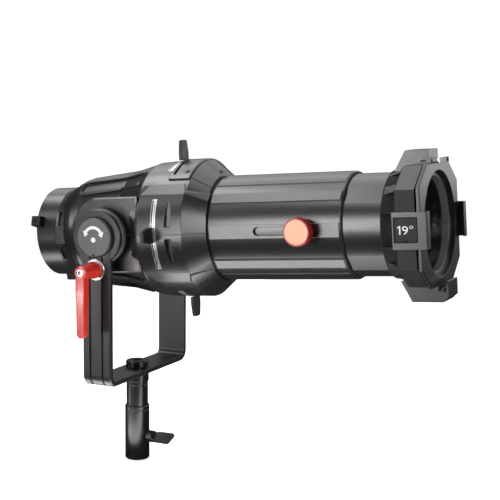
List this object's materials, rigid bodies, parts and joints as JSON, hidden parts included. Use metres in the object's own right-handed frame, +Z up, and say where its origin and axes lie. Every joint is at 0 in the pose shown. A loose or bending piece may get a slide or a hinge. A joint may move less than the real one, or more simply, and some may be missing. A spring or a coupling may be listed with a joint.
{
  "type": "ellipsoidal spotlight",
  "caption": "Ellipsoidal spotlight projection attachment with a lug collar, framing shutters, sliding lens tube, and a U yoke on a stand socket.",
  "frame": {"origin": "centre of the stand socket's mouth, at the bottom of the receiver", "axes": "+Z up along the stand spigot and the pan axis, +X to the front, the way the beam goes when the body is level, +Y away from the clamp lever"},
  "size_m": [0.4657, 0.2134, 0.3603],
  "materials": {
    "black_paint": "satin black powder coat on cast aluminium",
    "grey_paint": "satin dark grey paint on cast aluminium",
    "strap_paint": "satin black powder coat on aluminium strap",
    "black_steel": "black oxide steel",
    "red_lever": "gloss red enamel on die cast metal",
    "bright_steel": "turned steel, bright",
    "bright_alu": "plain aluminium",
    "spring_steel": "spring steel wire",
    "bronze": "oiled bronze",
    "glass": "clear polished glass",
    "grip_plastic": "black heatproof plastic",
    "red_knob": "dark red anodised look, knurled",
    "orange_face": "orange, satin",
    "label_grey": "dark grey, matt",
    "claw_grey": "satin dark grey paint on cast aluminium",
    "latch_grey": "light grey, dark tip"
  },
  "bodies": {
    "receiver": {"receiver_head": "black_paint", "receiver_socket": "black_paint", "pan_bolt": "black_steel", "pan_washer": "black_steel"},
    "wing": {"wing_screw": "grip_plastic"},
    "yoke": {"yoke_strap": "strap_paint", "pivot_bushes": "bronze", "pivot_caps": "grey_paint", "cap_screws": "black_steel", "brake_shoe": "black_steel", "clamp_washer": "bright_steel"},
    "clamp_core": {"clamp_stud": "bright_steel", "clamp_screw": "bright_steel", "clamp_spring": "spring_steel"},
    "clamp_handle": {"clamp_lever": "red_lever"},
    "optic": {"casing_rear_upper": "black_paint", "casing_rear_lower": "black_paint", "casing_gate_upper": "black_paint", "casing_gate_lower": "black_paint", "collar_liner": "bright_alu", "bayonet_lugs": "black_steel", "casing_screws": "black_steel", "tilt_disc_near": "grey_paint", "tilt_disc_far": "grey_paint", "pivot_bolts": "bright_steel", "condenser_cell": "bright_alu", "condenser_lens_rear": "glass", "condenser_lens_front": "glass", "condenser_ring": "black_steel", "gate_rear_plate": "bright_alu", "gate_spacers": "spring_steel", "gate_front_plate": "bright_alu", "gate_bolts": "bright_steel", "slot_trims": "bright_alu", "slot_cover": "black_paint", "barrel": "black_paint"},
    "lens_slide": {"lens_tube": "black_paint", "lens_front": "glass", "lens_rear": "glass", "lens_rings": "bright_alu", "front_holder": "claw_grey", "label_plate": "label_grey", "latch_pin": "bright_steel", "focus_stud": "bright_steel"},
    "knob": {"focus_knob": "red_knob", "focus_knob_face": "orange_face"},
    "latch": {"frame_latch": "latch_grey"},
    "guide_top": {"shutter_shoe_top": "bright_alu"},
    "shutter_top": {"shutter_blade_top": "bright_steel", "shutter_paddle_top": "grip_plastic"},
    "guide_near": {"shutter_shoe_near": "bright_alu"},
    "shutter_near": {"shutter_blade_near": "bright_steel", "shutter_paddle_near": "grip_plastic"},
    "guide_bottom": {"shutter_shoe_bottom": "bright_alu"},
    "shutter_bottom": {"shutter_blade_bottom": "bright_steel", "shutter_paddle_bottom": "grip_plastic"},
    "guide_far": {"shutter_shoe_far": "bright_alu"},
    "shutter_far": {"shutter_blade_far": "bright_steel", "shutter_paddle_far": "grip_plastic"}
  },
  "joints": [
    {"name": "wing_turn", "type": "hinge", "parent": "receiver", "child": "wing", "pos_m": [0.02, 0, 0.0267], "axis": [1, 0, 0], "range_deg": [-180, 180]},
    {"name": "pan", "type": "hinge", "parent": "receiver", "child": "yoke", "pos_m": [0, 0, 0.1017], "axis": [0, 0, 1], "continuous": true},
    {"name": "tilt", "type": "hinge", "parent": "yoke", "child": "optic", "pos_m": [0, 0, 0.2597], "axis": [0, -1, 0], "range_deg": [-44, 85]},
    {"name": "clamp_turn", "type": "hinge", "parent": "yoke", "child": "clamp_core", "pos_m": [0, -0.09, 0.2257], "axis": [0, -1, 0], "range_deg": [-60, 60]},
    {"name": "clamp_lift", "type": "slide", "parent": "clamp_core", "child": "clamp_handle", "axis": [0, -1, 0], "range_m": [0, 0.0035], "stiffness_N_per_m": 900, "springref_m": -0.003, "deforming": ["clamp_spring"]},
    {"name": "swing_top", "type": "hinge", "parent": "optic", "child": "guide_top", "pos_m": [0.06433, 0, 0.26442], "axis": [0.9973, 0, 0.0732], "range_deg": [-20, 20]},
    {"name": "pull_top", "type": "slide", "parent": "guide_top", "child": "shutter_top", "axis": [-0.0732, 0, 0.9973], "range_m": [0, 0.024]},
    {"name": "swing_near", "type": "hinge", "parent": "optic", "child": "guide_near", "pos_m": [0.06084, 0, 0.26417], "axis": [0.9973, 0, 0.0732], "range_deg": [-20, 20]},
    {"name": "pull_near", "type": "slide", "parent": "guide_near", "child": "shutter_near", "axis": [0, -1, 0], "range_m": [0, 0.024]},
    {"name": "swing_bottom", "type": "hinge", "parent": "optic", "child": "guide_bottom", "pos_m": [0.06782, 0, 0.26468], "axis": [0.9973, 0, 0.0732], "range_deg": [-20, 20]},
    {"name": "pull_bottom", "type": "slide", "parent": "guide_bottom", "child": "shutter_bottom", "axis": [0.0732, 0, -0.9973], "range_m": [0, 0.024]},
    {"name": "swing_far", "type": "hinge", "parent": "optic", "child": "guide_far", "pos_m": [0.07131, 0, 0.26494], "axis": [0.9973, 0, 0.0732], "range_deg": [-20, 20]},
    {"name": "pull_far", "type": "slide", "parent": "guide_far", "child": "shutter_far", "axis": [0, 1, 0], "range_m": [0, 0.024]},
    {"name": "focus", "type": "slide", "parent": "optic", "child": "lens_slide", "axis": [0.9973, 0, 0.0732], "range_m": [-0.036, 0.004]},
    {"name": "knob_turn", "type": "hinge", "parent": "lens_slide", "child": "knob", "pos_m": [0.2214, -0.066, 0.27596], "axis": [0, -1, 0], "range_deg": [-180, 180]},
    {"name": "latch_swing", "type": "hinge", "parent": "lens_slide", "child": "latch", "pos_m": [0.34448, -0.017, 0.34767], "axis": [0.9973, 0, 0.0732], "range_deg": [0, 95]}
  ]
}
